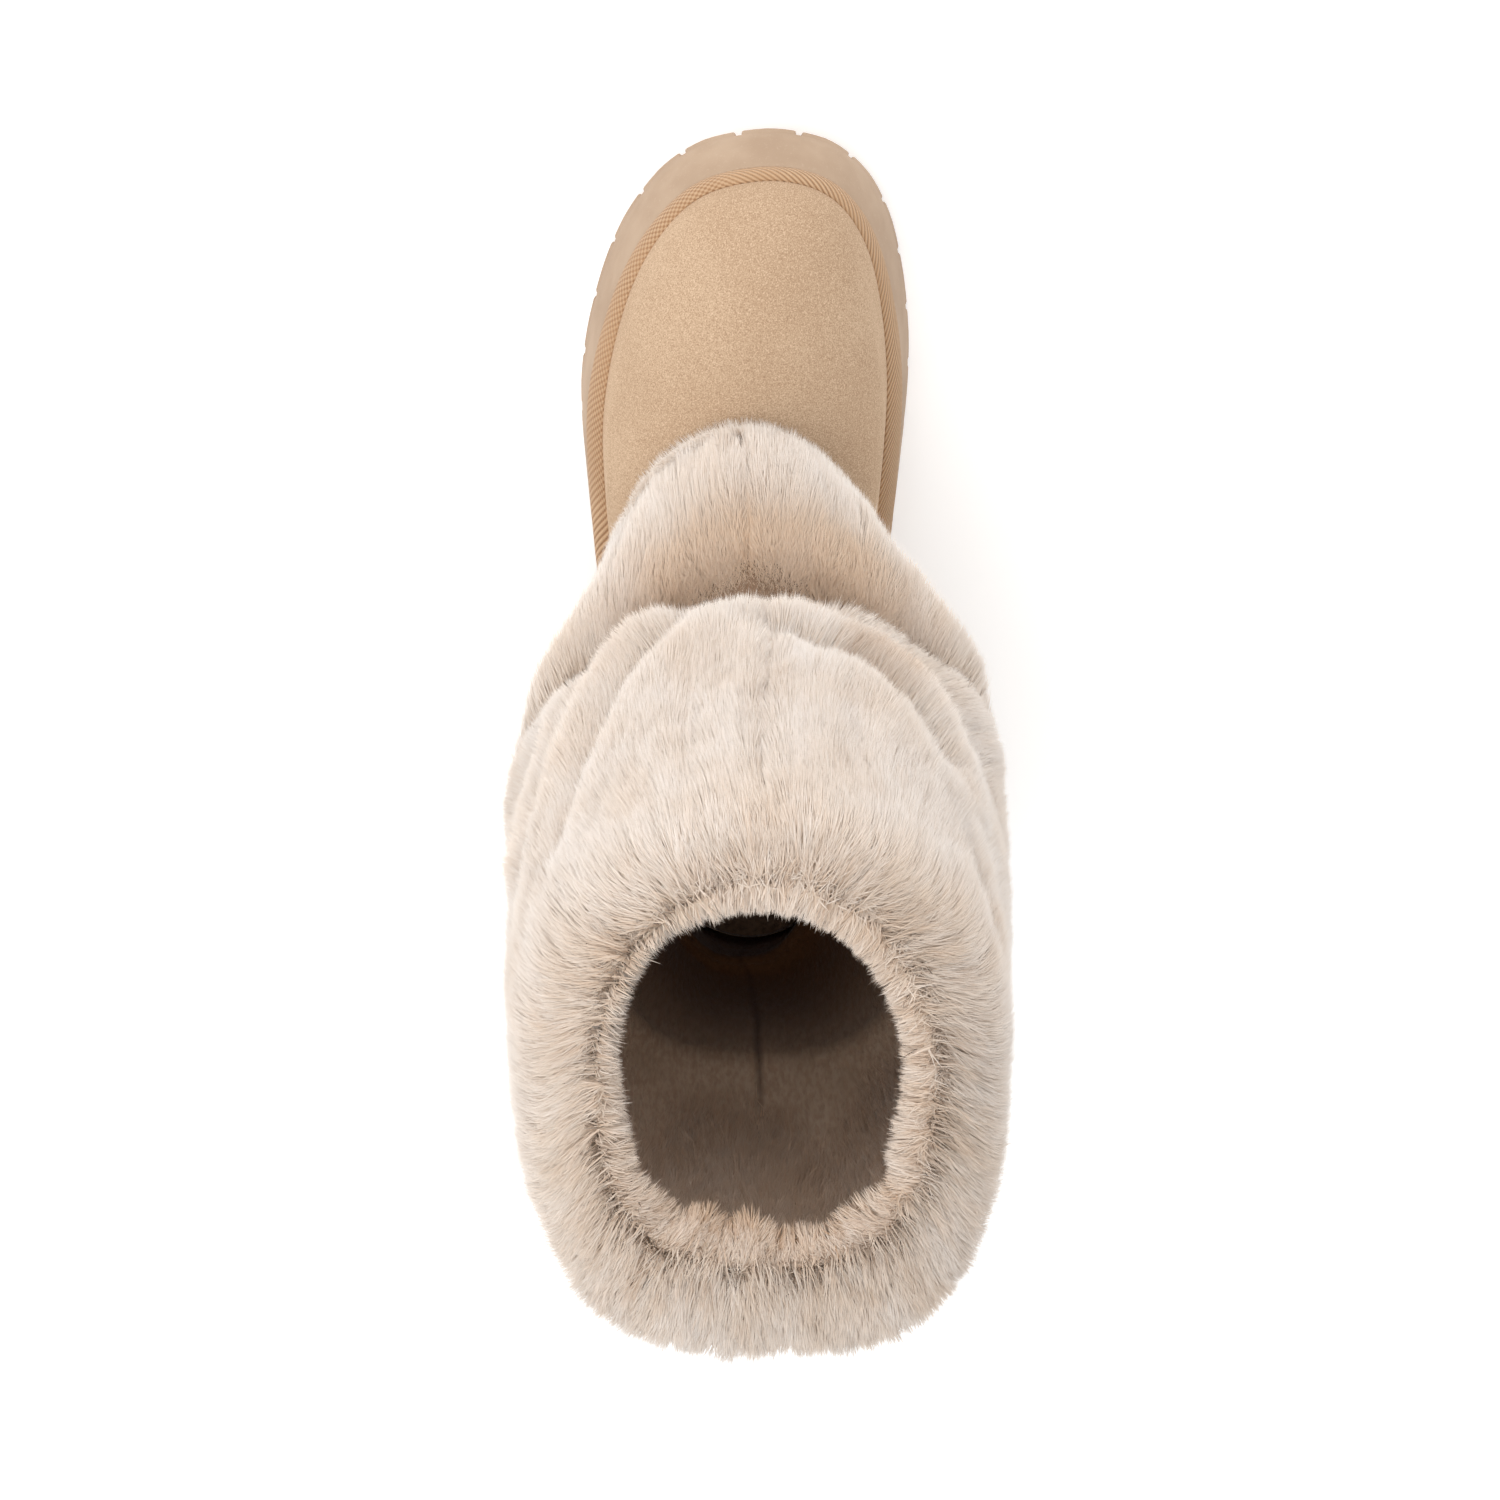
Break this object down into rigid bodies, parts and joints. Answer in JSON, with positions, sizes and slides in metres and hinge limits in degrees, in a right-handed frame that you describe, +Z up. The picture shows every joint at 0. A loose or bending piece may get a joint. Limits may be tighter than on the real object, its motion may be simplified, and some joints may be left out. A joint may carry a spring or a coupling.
{
  "type": "sheepskin boot",
  "caption": "Ankle boot with a smooth suede foot, a slouched long-pile fur shaft with a rolled rim, a braided welt and a thick lugged platform sole.",
  "frame": {"origin": "centre of the heel's rest face, on the floor", "axes": "+X along the sole to the toe, +Y to the outer side of the left foot, +Z up out of the shaft"},
  "size_m": [0.3032, 0.1611, 0.267],
  "materials": {
    "sole_foam": "matte moulded foam rubber, tan",
    "welt_braid": "braided tape, warm tan",
    "suede": "short-napped suede, sand",
    "fur": "long soft pile, cream with light brown roots",
    "footbed": "short pile, beige"
  },
  "bodies": {
    "root": {"sole": "sole_foam", "welt": "welt_braid", "upper": "suede", "shaft": "fur", "insole": "footbed"}
  },
  "joints": []
}
